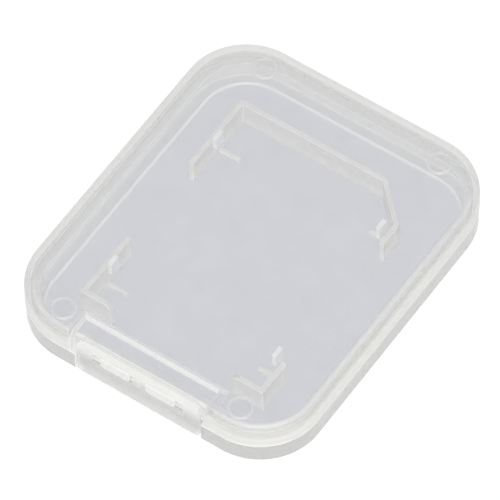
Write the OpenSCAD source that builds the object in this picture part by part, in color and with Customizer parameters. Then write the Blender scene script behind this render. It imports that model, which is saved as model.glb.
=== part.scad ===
// Memory card case: a shallow tray and lid of one translucent moulding, joined by a short
// hinge strap with two fold lines. The case lies closed on its tray. X runs across the case,
// along the hinge, Y from the hinge side to the catch side, Z up. The origin is the middle
// of the underside.

/* [Case] */
// Length of the closed case, from the hinge side to the catch side
case_l = 48; // [44:0.5:56]
// Width of the closed case
case_w = 40; // [37:0.5:50]
// Height of the closed case
case_h = 6.8; // [6.5:0.1:8]
// Radius of the four corners, seen from above
corner_r = 8.2; // [5:0.1:8.4]
// Thickness of the lid's side wall
lid_wall = 0.8; // [0.75:0.05:1]
// Thickness of the lid's top
lid_top_t = 0.8; // [0.6:0.05:1]
// Radius of the lid's top edge
lid_edge_r = 1.2; // [0.4:0.1:1.5]
// Thickness of the tray's floor
floor_t = 0.8; // [0.6:0.1:1]
// Radius of the tray's bottom edge
tray_edge_r = 0.35; // [0.1:0.05:0.6]
// Height of the seam between the tray and the lid
seam_z = 3; // [2.6:0.1:3.3]

/* [Lip and catch] */
// Thickness of the tray's lip, which stands inside the lid's wall
lip_t = 1; // [0.8:0.05:1.2]
// Gap between the lip's top and the recess's floor above it
lip_head_gap = 0.4; // [0.2:0.05:0.8]
// Length of the catch on the side opposite the hinge
catch_l = 12; // [6:0.5:16]
// Height of each catch ridge, as seen from the hinge
catch_z_t = 0.4; // [0.3:0.05:0.5]

/* [Hinge] */
// Width of the hinge strap
strap_w = 17.2; // [15.5:0.1:18]
// Thickness of the strap's stiff middle
strap_t = 0.65; // [0.55:0.05:0.7]
// Thickness of the folding films
film_t = 0.3; // [0.2:0.05:0.35]
// Length of film between the stiff middle and the fold's axis
film_len = 0.3; // [0.2:0.05:0.4]
// Height of the film above the case's underside
film_lift = 0.1; // [0.05:0.05:0.2]
// Length of the recess in the lid's top, from the hinge side
recess_l = 3.3; // [2.8:0.1:4]
// Depth of that recess
recess_depth = 0.9; // [0.8:0.05:1]
// Gap between the strap and each end of the recess
recess_side_gap = 0.85; // [0.3:0.05:1.1]
// Thickness of the recess's floor, cheeks and back
pocket_t = 0.8; // [0.6:0.05:0.9]
// Thickness of the lid's wall behind the strap
hinge_wall_t = 0.75; // [0.6:0.05:0.9]
// Width of each window in the strap
window_w = 6; // [5:0.1:6.5]
// Width of the web between the two windows
window_web = 1; // [0.6:0.1:2]
// Height of each window below the recess's floor
window_h = 2.25; // [2.1:0.05:2.6]
// Width of each key that stands in a window
key_w = 4.15; // [3:0.05:4.5]
// Gap between a key's lower edge and the window's
key_drop_gap = 0.65; // [0.3:0.05:0.9]
// Gap between a key and the web
key_web_gap = 0.6; // [0.3:0.05:0.9]

/* [Card nest] */
// Width of the card
card_w = 24; // [20:0.1:24.5]
// Length of the card
card_l = 32; // [28:0.1:33]
// Thickness of the card
card_t = 2.1; // [1.4:0.1:2.2]
// Clearance between the card and each side wall of the nest
card_side_gap = 0.3; // [0.15:0.05:0.5]
// Clearance between the card and each end wall of the nest
card_end_gap = 0.12; // [0.05:0.01:0.3]
// Leg of the card's cut corner
card_cut = 4; // [3:0.1:5]
// How far the nest's middle lies towards the hinge
nest_back = 0.28; // [0:0.02:1]
// Thickness of the nest's walls
nest_t = 0.7; // [0.5:0.05:0.9]
// Height of the nest's walls above the floor
nest_h = 3.7; // [3:0.1:4]
// Length of the far wall's left leg, from the card's far end
far_left_leg = 10.35; // [8:0.05:12]
// Length of the far wall's right leg, from the card's far end
far_right_leg = 7.6; // [6.8:0.05:10]
// Length of the front left corner's side leg, from the card's front end
front_left_leg = 8.8; // [6:0.05:10]
// Length of the front right corner's side leg, from the card's front end
front_right_leg = 4.3; // [4.1:0.05:8]
// Length of the front corners' front legs, from the card's side
front_leg = 3.45; // [2.5:0.05:5]
// Radius of the front legs' upper ends
front_leg_r = 1; // [0.4:0.1:1.4]
// Length of the ribs that the card lies on
rib_l = 3; // [1.5:0.1:4]
// Thickness of those ribs
rib_t = 0.6; // [0.4:0.05:0.8]
// Height of those ribs above the floor
rib_h = 0.6; // [0.4:0.05:0.7]
// Distance of the far ribs from the card's far end
rib_far = 4.9; // [4.7:0.05:6]
// Distance of the front ribs from the card's front end
rib_front = 3.75; // [2:0.05:3.8]

/* [Pegs and pads under the lid] */
// Thickness of the pegs that hold the card down
peg_t = 0.6; // [0.4:0.05:0.8]
// Length of those pegs along the card's edge
peg_l = 1.6; // [1:0.1:2.4]
// Radius of the pegs' lower corners
peg_r = 0.3; // [0.1:0.05:0.45]
// Distance of a peg's middle in from the card's side edge
peg_in = 0.33; // [0.2:0.01:1]
// Gap between the pegs and the card's top
peg_gap = 0.3; // [0.1:0.05:0.5]
// Distance of the far pegs from the card's far end
peg_far = 6.05; // [4:0.05:8]
// Distance of the front pegs from the card's front end
peg_front = 4.2; // [3:0.05:8]
// Diameter of the round pads
pad_d = 3.15; // [2:0.05:3.6]
// Thickness of the round pads
pad_t = 0.3; // [0.2:0.05:0.5]
// Gap between the front pads and the recess's cheeks
pad_side_gap = 0.7; // [0.3:0.05:1.5]
// Distance of a pad's middle from the case's end
pad_in_y = 3.1; // [2.8:0.1:4]

/* [Hidden] */
$fn = 64;

// Colour of the translucent moulding, and a lighter one for the small raised pieces
plastic = [0.83, 0.84, 0.86, 0.45];
pale = [0.93, 0.93, 0.9, 0.7];

// Fits
lip_gap = 0.15;
seam_gap = 0.12;
strap_gap = lid_wall - strap_t;
strap_side_gap = 0.25;
film_gap = 0.02;
catch_pass_gap = 0.03;
tray_inset = 0.08;
eps = 0.01;

// Heights
rim_z = seam_z + seam_gap;
ceiling_z = case_h - lid_top_t;
pocket_top = case_h - recess_depth;
pocket_under = pocket_top - pocket_t;
lip_top = pocket_under - lip_head_gap;
lip_h = lip_top - seam_z;

// The hinge side, from the outside inwards
hinge_y = -case_l / 2;
wall_in_y = hinge_y + lid_wall;
hinge_wall_in_y = wall_in_y + hinge_wall_t;
recess_y = hinge_y + recess_l;
recess_w = strap_w + 2 * recess_side_gap;
pocket_w = recess_w + 2 * pocket_t;

// Fold axes: the strap lies flat beside an opened case, so the upper axis follows the lower
base_fold_y = hinge_y + film_t / 2;
base_fold_z = film_lift + film_t / 2;
lid_fold_z = pocket_top - film_t / 2;
lid_fold_y = base_fold_y + case_h - lid_fold_z - base_fold_z;
bend_r = lid_fold_y - hinge_y;
bend_z = pocket_top - bend_r;
film_w = strap_w - 1.2;
strap_end_r = 0.6;
strap_foot_z = base_fold_z + film_len;
strap_head_y = lid_fold_y - film_len;
pocket_front_y = lid_fold_y + film_t / 2 + 0.1;

// Windows and keys
window_z = pocket_under - window_h;
window_top = pocket_under + 0.1;
window_r = 0.3;
key_top = pocket_under;
key_z = window_z + key_drop_gap;
key_r = 0.6;
window_x = (window_web + window_w) / 2;
key_x = window_web / 2 + key_web_gap + key_w / 2;

// Lip, and the wall that carries it past the hinge
lip_in = lid_wall + lip_gap;
wall_in = lip_in + lip_t;
jog_w = pocket_w + 2 * lip_gap;
jog_out_y = hinge_wall_in_y + lip_gap;
jog_in_y = jog_out_y + lip_t;

// Card nest
nest_cy = -nest_back;
nest_in_w = card_w + 2 * card_side_gap;
nest_in_l = card_l + 2 * card_end_gap;
card_far = nest_cy + card_l / 2;
card_near = nest_cy - card_l / 2;
nest_cut = card_cut + 0.5;
card_top = floor_t + rib_h + card_t;
peg_z = card_top + peg_gap;
catch_t = (lip_gap - catch_pass_gap) / 2;
catch_mid_z = seam_z + lip_h / 2;
pad_x = pocket_w / 2 + pad_side_gap + pad_d / 2;

// Rounded rectangle of length l along Y and width w along X
module plan(l, w, r) {
  for (sx = [-1, 1], sy = [-1, 1])
    translate([sx * (w / 2 - r), sy * (l / 2 - r)])
      circle(r);
  square([w - 2 * r, l], center = true);
  square([w, l - 2 * r], center = true);
}

module slab(l, w, h, r) {
  linear_extrude(h)
    plan(l, w, r);
}

// Half of a section that stands on z = 0, with its upper outer corner rounded
module edge_half(half, h, edge) {
  square([half, h - edge]);
  square([half - edge, h]);
  translate([half - edge, h - edge])
    circle(edge);
}

// Slab whose upper edge is rounded all the way round
module soft_slab(l, w, h, r, edge) {
  for (sx = [-1, 1], sy = [-1, 1])
    translate([sx * (w / 2 - r), sy * (l / 2 - r), 0])
      rotate_extrude()
        intersection() {
          edge_half(r, h, edge);
          square([r, h]);
        }
  for (side = [0, 1])
    mirror([side, 0, 0])
      rotate([90, 0, 0])
        linear_extrude(l - 2 * r, center = true)
          edge_half(w / 2, h, edge);
  for (end = [0, 1])
    mirror([0, end, 0])
      rotate([90, 0, 90])
        linear_extrude(w - 2 * r, center = true)
          edge_half(l / 2, h, edge);
}

// Box given by its lowest corner and its highest corner
module block(low, high) {
  translate(low)
    cube(high - low);
}

// Outline in the Y-Z plane, drawn as [y, z], run along X and centred
module across(w) {
  rotate([90, 0, 90])
    linear_extrude(w, center = true)
      children();
}

// Outline in the X-Z plane, drawn as [x, z], run along Y from y0 to y1
module along(y0, y1) {
  translate([0, y1, 0])
    rotate([90, 0, 0])
      linear_extrude(y1 - y0)
        children();
}

module base_tray() {
  color(plastic)
    difference() {
      translate([0, 0, seam_z])
        mirror([0, 0, 1])
          soft_slab(case_l - 2 * tray_inset, case_w - 2 * tray_inset, seam_z,
                    corner_r - tray_inset, tray_edge_r);
      translate([0, 0, floor_t])
        slab(case_l - 2 * wall_in, case_w - 2 * wall_in, seam_z, corner_r - wall_in);
      block([-strap_w / 2 - strap_side_gap, hinge_y - 1, -1],
            [strap_w / 2 + strap_side_gap, wall_in_y, seam_z + 1]);
    }
}

module base_lip() {
  color(plastic)
    difference() {
      translate([0, 0, seam_z])
        slab(case_l - 2 * lip_in, case_w - 2 * lip_in, lip_h, corner_r - lip_in);
      slab(case_l - 2 * wall_in, case_w - 2 * wall_in, case_h, corner_r - wall_in);
      block([-jog_w / 2 - lip_t, hinge_y - 1, 0], [jog_w / 2 + lip_t, 0, case_h]);
    }
}

// The lip steps inwards behind the strap, which leaves room for the lid's wall there
module base_hinge_wall() {
  color(plastic)
    difference() {
      union() {
        block([-jog_w / 2 - lip_t, hinge_y + lip_in, seam_z], [jog_w / 2 + lip_t, jog_in_y, lip_top]);
        block([-jog_w / 2 - lip_t, hinge_y + wall_in, floor_t], [jog_w / 2 + lip_t, jog_in_y, seam_z]);
      }
      block([-jog_w / 2, hinge_y, seam_z], [jog_w / 2, jog_out_y, case_h]);
    }
}

module base_fold_film() {
  color(pale)
    block([-film_w / 2, base_fold_y + film_t / 2 + film_gap, film_lift],
          [film_w / 2, wall_in_y, film_lift + film_t]);
}

// Low ridge on the outside of the lip
module base_catch() {
  color(pale)
    block([-catch_l / 2, -hinge_y - lip_in, catch_mid_z + catch_z_t / 4],
          [catch_l / 2, -hinge_y - lip_in + catch_t, catch_mid_z + catch_z_t * 5 / 4]);
}

// Outline of the nest's inside, or of its outside when grown by g: a card with one cut corner
function nest_outline(g) =
  let (
    x = nest_in_w / 2 + g,
    y0 = nest_cy - nest_in_l / 2 - g,
    y1 = nest_cy + nest_in_l / 2 + g,
    c = nest_cut + g * (2 - sqrt(2))
  )
  [[-x, y0], [x, y0], [x, y1 - c], [x - c, y1], [-x, y1]];

module nest_ring() {
  translate([0, 0, floor_t])
    linear_extrude(nest_h)
      difference() {
        polygon(nest_outline(nest_t));
        polygon(nest_outline(0));
      }
}

module nest_wall_far() {
  top = floor_t + nest_h;
  color(plastic)
    intersection() {
      nest_ring();
      union() {
        block([-case_w, card_far - far_left_leg, 0], [0, case_l, top + eps]);
        block([0, card_far - far_right_leg, 0], [case_w, case_l, top + eps]);
      }
    }
}

// One front corner of the nest: side is -1 for the left and 1 for the right
module nest_corner(side, side_leg) {
  top = floor_t + nest_h;
  tip_x = card_w / 2 - front_leg;
  color(plastic)
    intersection() {
      nest_ring();
      union() {
        block([side > 0 ? nest_in_w / 2 : -case_w, -case_l, 0],
              [side > 0 ? case_w : -nest_in_w / 2, card_near + side_leg, top + eps]);
        mirror([side > 0 ? 0 : 1, 0, 0])
          along(-case_l / 2, nest_cy - nest_in_l / 2) {
            translate([tip_x + front_leg_r, 0])
              square([case_w, top + eps]);
            translate([tip_x, 0])
              square([front_leg_r + eps, top - front_leg_r]);
            translate([tip_x + front_leg_r, top - front_leg_r])
              circle(front_leg_r);
          }
      }
    }
}

module nest_corner_left() {
  nest_corner(-1, front_left_leg);
}

module nest_corner_right() {
  nest_corner(1, front_right_leg);
}

// Low rib from a side wall towards the middle, with its middle at y
module card_rib(side, y) {
  color(plastic)
    mirror([side > 0 ? 0 : 1, 0, 0])
      block([nest_in_w / 2 - rib_l, y - rib_t / 2, floor_t],
            [nest_in_w / 2, y + rib_t / 2, floor_t + rib_h]);
}

module card_rib_far_left() {
  card_rib(-1, card_far - rib_far);
}

module card_rib_far_right() {
  card_rib(1, card_far - rib_far);
}

module card_rib_front_left() {
  card_rib(-1, card_near + rib_front);
}

module card_rib_front_right() {
  card_rib(1, card_near + rib_front);
}

// Stiff middle of the strap: flat in front, bent over at the top, with two windows
module hinge_strap() {
  color(plastic)
    difference() {
      intersection() {
        across(strap_w)
          union() {
            translate([hinge_y, strap_foot_z])
              square([strap_t, bend_z - strap_foot_z]);
            intersection() {
              translate([lid_fold_y, bend_z])
                difference() {
                  circle(bend_r);
                  circle(bend_r - strap_t);
                }
              translate([hinge_y, bend_z])
                square([strap_head_y - hinge_y, bend_r]);
            }
          }
        along(hinge_y - 1, 0) {
          translate([0, pocket_top - strap_end_r])
            for (side = [-1, 1])
              translate([side * (strap_w / 2 - strap_end_r), 0])
                circle(strap_end_r);
          translate([-strap_w / 2, 0])
            square([strap_w, pocket_top - strap_end_r]);
          translate([-strap_w / 2 + strap_end_r, 0])
            square([strap_w - 2 * strap_end_r, case_h]);
        }
      }
      for (side = [-1, 1])
        along(hinge_y - 1, lid_fold_y)
          translate([side * window_x, (window_z + window_top) / 2])
            plan(window_top - window_z, window_w, window_r);
    }
}

// Film and rounded fold at the strap's foot
module lower_fold_film() {
  color(pale)
    across(film_w)
      union() {
        translate([base_fold_y, base_fold_z])
          circle(film_t / 2);
        translate([hinge_y, base_fold_z])
          square([film_t, film_len]);
      }
}

// Film and rounded fold at the strap's bent top
module upper_fold_film() {
  color(pale)
    across(film_w)
      union() {
        translate([lid_fold_y, lid_fold_z])
          circle(film_t / 2);
        intersection() {
          translate([lid_fold_y, bend_z])
            difference() {
              circle(bend_r);
              circle(bend_r - film_t);
            }
          translate([strap_head_y, bend_z])
            square([lid_fold_y - strap_head_y, bend_r]);
        }
      }
}

module lid_shell() {
  color(plastic)
    difference() {
      translate([0, 0, rim_z])
        soft_slab(case_l, case_w, case_h - rim_z, corner_r, lid_edge_r);
      slab(case_l - 2 * lid_wall, case_w - 2 * lid_wall, ceiling_z, corner_r - lid_wall);
      block([-recess_w / 2, hinge_y - 1, 0], [recess_w / 2, recess_y, case_h + 1]);
    }
}

// Floor, back and cheeks of the recess in the lid's top
module lid_hinge_pocket() {
  color(plastic)
    difference() {
      block([-pocket_w / 2, wall_in_y, pocket_under], [pocket_w / 2, recess_y + pocket_t, ceiling_z]);
      block([-recess_w / 2, hinge_y, pocket_top], [recess_w / 2, recess_y, case_h]);
      block([-recess_w / 2, hinge_y, 0], [recess_w / 2, pocket_front_y, case_h]);
    }
}

// Wall of the lid behind the strap
module lid_hinge_wall() {
  color(plastic)
    block([-pocket_w / 2, wall_in_y, rim_z], [pocket_w / 2, hinge_wall_in_y, pocket_under]);
}

module lid_fold_film() {
  color(pale)
    block([-film_w / 2, lid_fold_y + film_t / 2 + film_gap, pocket_top - film_t],
          [film_w / 2, pocket_front_y, pocket_top]);
}

// Low ridge on the inside of the lid's wall, under the one on the lip
module lid_catch() {
  color(pale)
    block([-catch_l / 2, -wall_in_y - catch_t, catch_mid_z - catch_z_t * 5 / 4],
          [catch_l / 2, -wall_in_y, catch_mid_z - catch_z_t / 4]);
}

// Key on the lid's wall that stands in one of the strap's windows
module lid_key(side) {
  color(pale)
    along(hinge_y, wall_in_y)
      translate([side * key_x, 0]) {
        translate([-key_w / 2, key_z + key_r])
          square([key_w, key_top - key_z - key_r]);
        translate([-key_w / 2 + key_r, key_z])
          square([key_w - 2 * key_r, key_r + eps]);
        for (end = [-1, 1])
          translate([end * (key_w / 2 - key_r), key_z + key_r])
            circle(key_r);
      }
}

module lid_key_left() {
  lid_key(-1);
}

module lid_key_right() {
  lid_key(1);
}

// Peg that hangs from the lid over the card's edge
module hold_peg(side, y) {
  x = side * (card_w / 2 - peg_in);
  color(pale)
    translate([x, y, 0])
      across(peg_t) {
        translate([-peg_l / 2, peg_z + peg_r])
          square([peg_l, ceiling_z - peg_z - peg_r]);
        translate([-peg_l / 2 + peg_r, peg_z])
          square([peg_l - 2 * peg_r, peg_r + eps]);
        for (end = [-1, 1])
          translate([end * (peg_l / 2 - peg_r), peg_z + peg_r])
            circle(peg_r);
      }
}

module hold_peg_far_left() {
  hold_peg(-1, card_far - peg_far);
}

module hold_peg_far_right() {
  hold_peg(1, card_far - peg_far);
}

module hold_peg_front_left() {
  hold_peg(-1, card_near + peg_front);
}

module hold_peg_front_right() {
  hold_peg(1, card_near + peg_front);
}

// Round pad under the lid's top, near a corner
module lid_pad(sx, sy) {
  color(pale)
    translate([sx * pad_x, sy * (case_l / 2 - pad_in_y), ceiling_z - pad_t])
      cylinder(d = pad_d, h = pad_t);
}

module lid_pad_far_left() {
  lid_pad(-1, 1);
}

module lid_pad_far_right() {
  lid_pad(1, 1);
}

module lid_pad_front_left() {
  lid_pad(-1, -1);
}

module lid_pad_front_right() {
  lid_pad(1, -1);
}

base_tray();
base_lip();
base_hinge_wall();
base_fold_film();
base_catch();
nest_wall_far();
nest_corner_left();
nest_corner_right();
card_rib_far_left();
card_rib_far_right();
card_rib_front_left();
card_rib_front_right();
hinge_strap();
lower_fold_film();
upper_fold_film();
lid_shell();
lid_hinge_pocket();
lid_hinge_wall();
lid_fold_film();
lid_catch();
lid_key_left();
lid_key_right();
hold_peg_far_left();
hold_peg_far_right();
hold_peg_front_left();
hold_peg_front_right();
lid_pad_far_left();
lid_pad_far_right();
lid_pad_front_left();
lid_pad_front_right();
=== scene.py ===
# %% [markdown]
# # A clear folding case for a memory card
# The real object is one piece of clear, slightly milky polypropylene. It is moulded flat
# and open, and then folded shut: a tray with a nest for the card, a lid over it, and a
# short strap between them that bends along two thin films. This lesson dresses the packed
# CAD model of it. The CAD model gives every size and place, and Blender adds what it
# can't hold: a small radius on every edge, films that bend, and a plastic that light
# passes.
#
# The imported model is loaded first, as a fixed frame. Its box is kept, because the dressed
# case has to stay inside it.

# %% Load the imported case
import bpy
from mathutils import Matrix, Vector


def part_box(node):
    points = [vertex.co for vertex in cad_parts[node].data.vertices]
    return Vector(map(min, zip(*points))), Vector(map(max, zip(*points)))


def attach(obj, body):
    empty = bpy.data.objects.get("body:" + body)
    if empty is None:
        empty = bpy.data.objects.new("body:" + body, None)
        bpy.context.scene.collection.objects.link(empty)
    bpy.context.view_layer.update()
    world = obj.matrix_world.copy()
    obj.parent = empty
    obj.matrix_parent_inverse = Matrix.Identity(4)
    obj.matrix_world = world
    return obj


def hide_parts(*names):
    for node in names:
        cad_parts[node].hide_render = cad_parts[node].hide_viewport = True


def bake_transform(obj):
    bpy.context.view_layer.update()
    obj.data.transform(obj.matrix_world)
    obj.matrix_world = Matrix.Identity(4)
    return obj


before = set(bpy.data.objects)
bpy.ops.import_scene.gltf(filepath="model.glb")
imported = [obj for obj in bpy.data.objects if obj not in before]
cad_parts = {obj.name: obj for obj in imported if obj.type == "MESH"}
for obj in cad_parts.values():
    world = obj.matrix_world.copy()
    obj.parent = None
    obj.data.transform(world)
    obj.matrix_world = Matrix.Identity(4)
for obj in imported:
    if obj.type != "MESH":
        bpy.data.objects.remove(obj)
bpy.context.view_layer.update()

# %% [markdown]
# ## Millimetres
# The walls are less than a millimetre thick, so the lesson thinks in millimetres, and each
# mesh is shrunk to metres once, when it is finished. `box_mm` reads where a CAD node lies.
# Most sizes are read that way instead of being typed, so they follow the CAD model. The
# corners are rounded to a tenth of a micrometre, which takes away the noise of the packing.

# %% Boxes in millimetres
import math

import bmesh
import bpy
from mathutils import Matrix, Vector

MM = 0.001
DIGITS = 4


def box_mm(node):
    """Lowest and highest corner of a CAD node, in millimetres."""
    return tuple(Vector(round(c / MM, DIGITS) for c in corner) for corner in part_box(node))


lid_low, lid_high = box_mm("lid_shell")
print("lid from", [round(c, 2) for c in lid_low], "to", [round(c, 2) for c in lid_high])

# %% [markdown]
# ## Faces that are pushed and pulled
# A moulded part is mostly rounded rectangles that were pushed up or down. `rounded_face`
# starts from a grid of one face, and `round_off` bevels its four corners. `push` extrudes
# a face: a lone face becomes a closed block, and a face of a block leaves walls behind it.
# A typed list of vertices would do the same, but every change would then mean new numbers.

# %% Push a rounded face
PLAN_STEPS = 18


def round_off(bm, parts, radius, steps, affect="EDGES"):
    """Rounds some edges, or with VERTICES some corners of a face."""
    bmesh.ops.bevel(
        bm, geom=list(parts), offset=radius, offset_type="OFFSET", segments=steps,
        profile=0.5, affect=affect, material=-1,
    )


def rounded_face(bm, length, width, radius, z, steps=PLAN_STEPS):
    """One flat face at height z: a rectangle, length along Y, with round corners."""
    corners = bmesh.ops.create_grid(bm, x_segments=1, y_segments=1, size=0.5)["verts"]
    bmesh.ops.scale(bm, vec=(width, length, 1), verts=corners)
    bmesh.ops.translate(bm, vec=(0, 0, z), verts=corners)
    if radius > 0:
        round_off(bm, corners, radius, steps, "VERTICES")
    bm.faces.ensure_lookup_table()
    return bm.faces[-1]


def push(bm, face, dz):
    """Extrudes a face by dz and returns the moved face."""
    lone = all(len(edge.link_faces) == 1 for edge in face.edges)
    made = bmesh.ops.extrude_face_region(bm, geom=[face])["geom"]
    moved = next(g for g in made if isinstance(g, bmesh.types.BMFace))
    bmesh.ops.translate(bm, vec=(0, 0, dz), verts=moved.verts)
    if not lone:
        bmesh.ops.delete(bm, geom=[face], context="FACES_ONLY")
    return moved


print("each large round corner has", PLAN_STEPS, "steps")

# %% [markdown]
# Two small helpers go with them. `flat_face` finds the largest level face at a height, to
# push it on. `block` gives a plain box, to unite with a shell or to cut it with. Its
# corners are set and not scaled into place, so that they are exact. A cut that misses an
# existing plane by a millionth of a millimetre leaves two faces there, which flicker.

# %% Find a face, make a block
SAME = 1e-4


def flat_face(bm, z):
    """The largest level face at height z."""
    level = [f for f in bm.faces if all(abs(v.co.z - z) < SAME for v in f.verts)]
    return max(level, key=lambda f: f.calc_area())


def block(low, high):
    """A plain box as a bmesh, from its lowest to its highest corner."""
    bm = bmesh.new()
    bmesh.ops.create_cube(bm, size=1)
    for vert in bm.verts:
        vert.co = [upper if c > 0 else lower for c, lower, upper in zip(vert.co, low, high)]
    return bm


sample = block(lid_low, lid_high)
print("a block round the lid holds", round(sample.calc_volume()), "cubic millimetres")
sample.free()

# %% [markdown]
# ## From a bmesh to an object
# A bmesh is where a shape is worked on, but modifiers need an object. `as_object` welds
# the shape's doubles, turns its faces outwards and makes an object of it. `settle` bakes
# the modifiers into the mesh, so that no later step depends on a live one.

# %% Make an object and bake it
WELD = 1e-5


def as_object(bm, name):
    """Makes an object from a bmesh, with all faces outwards."""
    bmesh.ops.remove_doubles(bm, verts=bm.verts, dist=WELD)
    bmesh.ops.recalc_face_normals(bm, faces=bm.faces)
    mesh = bpy.data.meshes.new(name)
    bm.to_mesh(mesh)
    bm.free()
    made = bpy.data.objects.new(name, mesh)
    bpy.context.scene.collection.objects.link(made)
    return made


def settle(piece):
    """Bakes a piece's modifiers into its mesh."""
    graph = bpy.context.evaluated_depsgraph_get()
    mesh = bpy.data.meshes.new_from_object(piece.evaluated_get(graph))
    piece.modifiers.clear()
    old, piece.data = piece.data, mesh
    bpy.data.meshes.remove(old)
    mesh.name = piece.name


print("points closer than", WELD, "mm are welded")

# %% [markdown]
# ## One skin for each panel
# Clear plastic shows every inner skin, so a wall that only pokes into another wall would
# show its hidden end. Each stiff panel of the case is therefore one closed skin, and its
# blocks are united and cut with the Boolean modifier. A cut can leave hairline steps and
# split flats, and a bevel would turn these into slivers, so they are merged after each cut.

# %% Unite and cut
HAIRLINE = 0.0005
FLAT_ANGLE = math.radians(0.2)


def merge_flats(piece):
    """Closes hairline steps and joins faces that lie in one plane."""
    bm = bmesh.new()
    bm.from_mesh(piece.data)
    bmesh.ops.remove_doubles(bm, verts=bm.verts, dist=HAIRLINE)
    bmesh.ops.dissolve_limit(bm, angle_limit=FLAT_ANGLE, verts=bm.verts, edges=bm.edges)
    bm.to_mesh(piece.data)
    bm.free()


def carve(piece, tool, how):
    """Unites, cuts or intersects a piece with a bmesh."""
    tool = as_object(tool, "tool")
    modifier = piece.modifiers.new("carve", "BOOLEAN")
    modifier.operation, modifier.solver, modifier.object = how, "EXACT", tool
    settle(piece)
    bpy.data.objects.remove(tool)
    merge_flats(piece)


print("steps under", HAIRLINE, "mm are closed")

# %% [markdown]
# ## The small radius that a mould leaves
# No edge of a moulding is quite sharp, and on clear plastic that shows at once, because
# each rounded edge draws a pale line. The Bevel modifier rounds every edge that turns by
# more than 35 degrees. Weighted normals then keep the large flats flat. Without them
# their shading would lean towards the rounded edges.

# %% Soften the edges
EDGE_R = 0.1
SHARP_ANGLE = math.radians(35)
FLATS_FIRST = 100


def soften(piece, radius=EDGE_R, steps=2):
    """Gives every sharp edge a small radius."""
    piece.data.shade_smooth()
    bevel = piece.modifiers.new("soften", "BEVEL")
    bevel.width, bevel.segments, bevel.profile = radius, steps, 0.5
    bevel.limit_method, bevel.angle_limit = "ANGLE", SHARP_ANGLE
    settle(piece)
    bm = bmesh.new()
    bm.from_mesh(piece.data)
    bmesh.ops.dissolve_degenerate(bm, edges=bm.edges, dist=2 * HAIRLINE)
    bm.to_mesh(piece.data)
    bm.free()
    weigh = piece.modifiers.new("flats stay flat", "WEIGHTED_NORMAL")
    weigh.mode, weigh.weight = "FACE_AREA", FLATS_FIRST
    settle(piece)


print("edges are rounded by", EDGE_R, "mm, unless a piece says otherwise")

# %% [markdown]
# ## Rims
# The ends of walls are where one looks along the plastic, so they look white. A face
# attribute marks them for the material: a face counts as a rim when it is narrow, and when
# its longest edge is a fold and not just a step of a curve. An attribute is better than
# a colour chosen by height here, because it stays with the piece when the case opens.

# %% Mark the rims
RIM_WIDTH = 1.02
RIM_FOLD = math.radians(15)


def mark_rims(piece, least_fold):
    """Marks the small radii and the narrow ends of walls."""
    bm = bmesh.new()
    bm.from_mesh(piece.data)
    rim = bm.faces.layers.float.new("rim")
    for face in bm.faces:
        width = 2 * face.calc_area() / sum(edge.calc_length() for edge in face.edges)
        fold = max(face.edges, key=lambda edge: edge.calc_length()).calc_face_angle(0)
        face[rim] = float(width < RIM_WIDTH and fold >= least_fold)
    bm.to_mesh(piece.data)
    bm.free()


print("a rim is narrower than", RIM_WIDTH, "mm")

# %% [markdown]
# ## Handing a piece over
# `deliver` ends each piece. It shrinks the mesh to metres, so that the object sits at the
# origin, unturned and unscaled. It gives it its plastic, and says which body carries it
# and which CAD nodes it stands for. A film is given two bodies and two points, but it is
# only baked in place and no body carries it.

# %% Deliver a piece


def deliver(piece, carrier, nodes, material, least_fold=RIM_FOLD):
    """Finishes a piece. The carrier is a body, or for a film two bodies and two points in mm,
    which are not used.
    """
    mark_rims(piece, least_fold)
    piece.data.transform(Matrix.Scale(MM, 4))
    piece.data.materials.clear()
    piece.data.materials.append(material)
    if isinstance(carrier, str):
        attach(piece, carrier)
    else:
        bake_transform(piece)
    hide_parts(*nodes)
    print(f"{piece.name}: {len(piece.data.polygons)} faces, stands for {', '.join(nodes)}")


# %% [markdown]
# ## The plastic
# Polypropylene this thin is clear in the middle of a panel and white wherever one looks
# along it. A refracting glass shader could give that, but in a case that is 7 mm high,
# with ten skins behind each other, it gives mostly dark rings and noise. Here the plastic
# is painted in layers instead. Each skin that a view ray crosses lets most of it pass,
# with a faint tint, and holds some of it back with a veil of milk.
#
# A few node helpers come first, so that the recipe reads as a recipe. `feed` links a
# socket, or sets a plain value on it: what is the same all over stays on the shader's
# own socket. `reckon`, `ramp`, `height_of` and `dot` do the sums.

# %% Helpers for numbers


def feed(tree, socket, value):
    """Links a socket to another one, or sets a number or a colour on it."""
    if isinstance(value, bpy.types.NodeSocket):
        tree.links.new(value, socket)
    else:
        socket.default_value = (*value, 1) if isinstance(value, tuple) else value


def reckon(tree, how, *values, clamp=False):
    """A Math node."""
    node = tree.nodes.new("ShaderNodeMath")
    node.operation, node.use_clamp = how, clamp
    for socket, value in zip(node.inputs, values):
        feed(tree, socket, value)
    return node.outputs[0]


def ramp(tree, value, before, after, low, high):
    """Goes from low to high while the value goes from before to after."""
    node = tree.nodes.new("ShaderNodeMapRange")
    ends = {"From Min": before, "From Max": after, "To Min": low, "To Max": high}
    for name, number in {"Value": value, **ends}.items():
        feed(tree, node.inputs[name], number)
    return node.outputs["Result"]


def height_of(tree, vector):
    """The Z part of a vector."""
    node = tree.nodes.new("ShaderNodeSeparateXYZ")
    feed(tree, node.inputs[0], vector)
    return node.outputs["Z"]


def dot(tree, first, second):
    """How far one vector points along another."""
    node = tree.nodes.new("ShaderNodeVectorMath")
    node.operation = "DOT_PRODUCT"
    feed(tree, node.inputs[0], first)
    feed(tree, node.inputs[1], second)
    return node.outputs["Value"]


print("helpers for numbers: feed, reckon, ramp, height_of, dot")

# %% [markdown]
# The other helpers mix colours, lay one shader over another and make noise. Two equal
# colours need no mixing, so `between` then gives the colour back as it is, and it ends on
# the shader's own socket.

# %% Helpers for colours and shaders


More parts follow.
